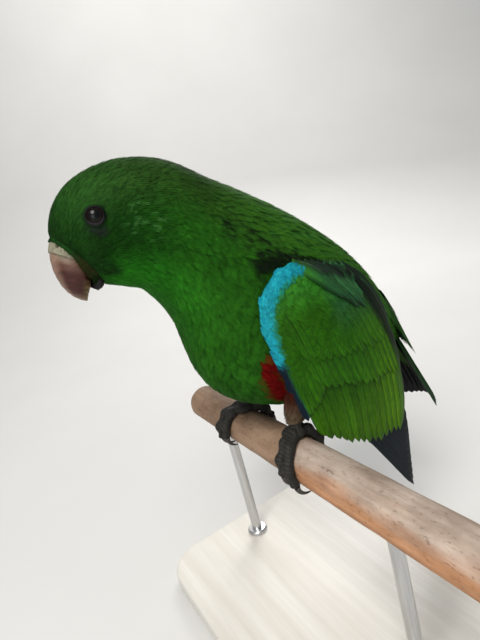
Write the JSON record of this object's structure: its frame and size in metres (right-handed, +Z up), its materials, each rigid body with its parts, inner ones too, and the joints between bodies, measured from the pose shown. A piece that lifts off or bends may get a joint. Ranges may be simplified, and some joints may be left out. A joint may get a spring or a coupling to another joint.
{
  "type": "male eclectus parrot on a perch, still display model",
  "caption": "Life-size green parrot with a hooked bill, leaning forward on a wooden perch with folded wings and a short tail, held by a plain display stand.",
  "frame": {"origin": "centre of the flat underside of the stand's base, on the surface that the model stands on", "axes": "+Z up; the bird faces -X, its left side is -Y and the perch runs along Y"},
  "size_m": [0.2173, 0.246, 0.2852],
  "materials": {
    "green_plumage": "soft matt feathers, bright parrot green, darker on the crown",
    "wing_feathers": "smooth matt vanes, green with a sky-blue leading edge and dark blue-black flight feathers",
    "tail_feathers": "smooth vanes, green above, black below",
    "cere_skin": "pale cream bare skin round the base of the bill",
    "upper_bill": "satin horn, pinkish brown with paler edges",
    "lower_bill": "satin blackish horn",
    "eye": "wet dark brown iris and black pupil under a clear surface",
    "foot_skin": "dry grey scaled skin",
    "claw": "smooth blackish horn",
    "perch_wood": "bare worn wood, tan with mauve-brown stains",
    "stand_base": "pale satin lacquered wood",
    "stand_rod": "brushed steel"
  },
  "bodies": {
    "root": {"head": "green_plumage", "neck": "green_plumage", "torso": "green_plumage", "cere": "cere_skin", "bill_upper": "upper_bill", "bill_lower": "lower_bill", "eye_left": "eye", "eye_right": "eye", "wing_left": "wing_feathers", "wing_right": "wing_feathers", "tail": "tail_feathers", "leg_left": "green_plumage", "leg_right": "green_plumage", "foot_left": "foot_skin", "foot_right": "foot_skin", "claw_front_outer_left": "claw", "claw_front_outer_right": "claw", "claw_front_inner_left": "claw", "claw_front_inner_right": "claw", "claw_rear_outer_left": "claw", "claw_rear_outer_right": "claw", "claw_rear_inner_left": "claw", "claw_rear_inner_right": "claw", "perch": "perch_wood", "stand_base": "stand_base", "stand_rod_near": "stand_rod", "stand_rod_far": "stand_rod"}
  },
  "joints": []
}
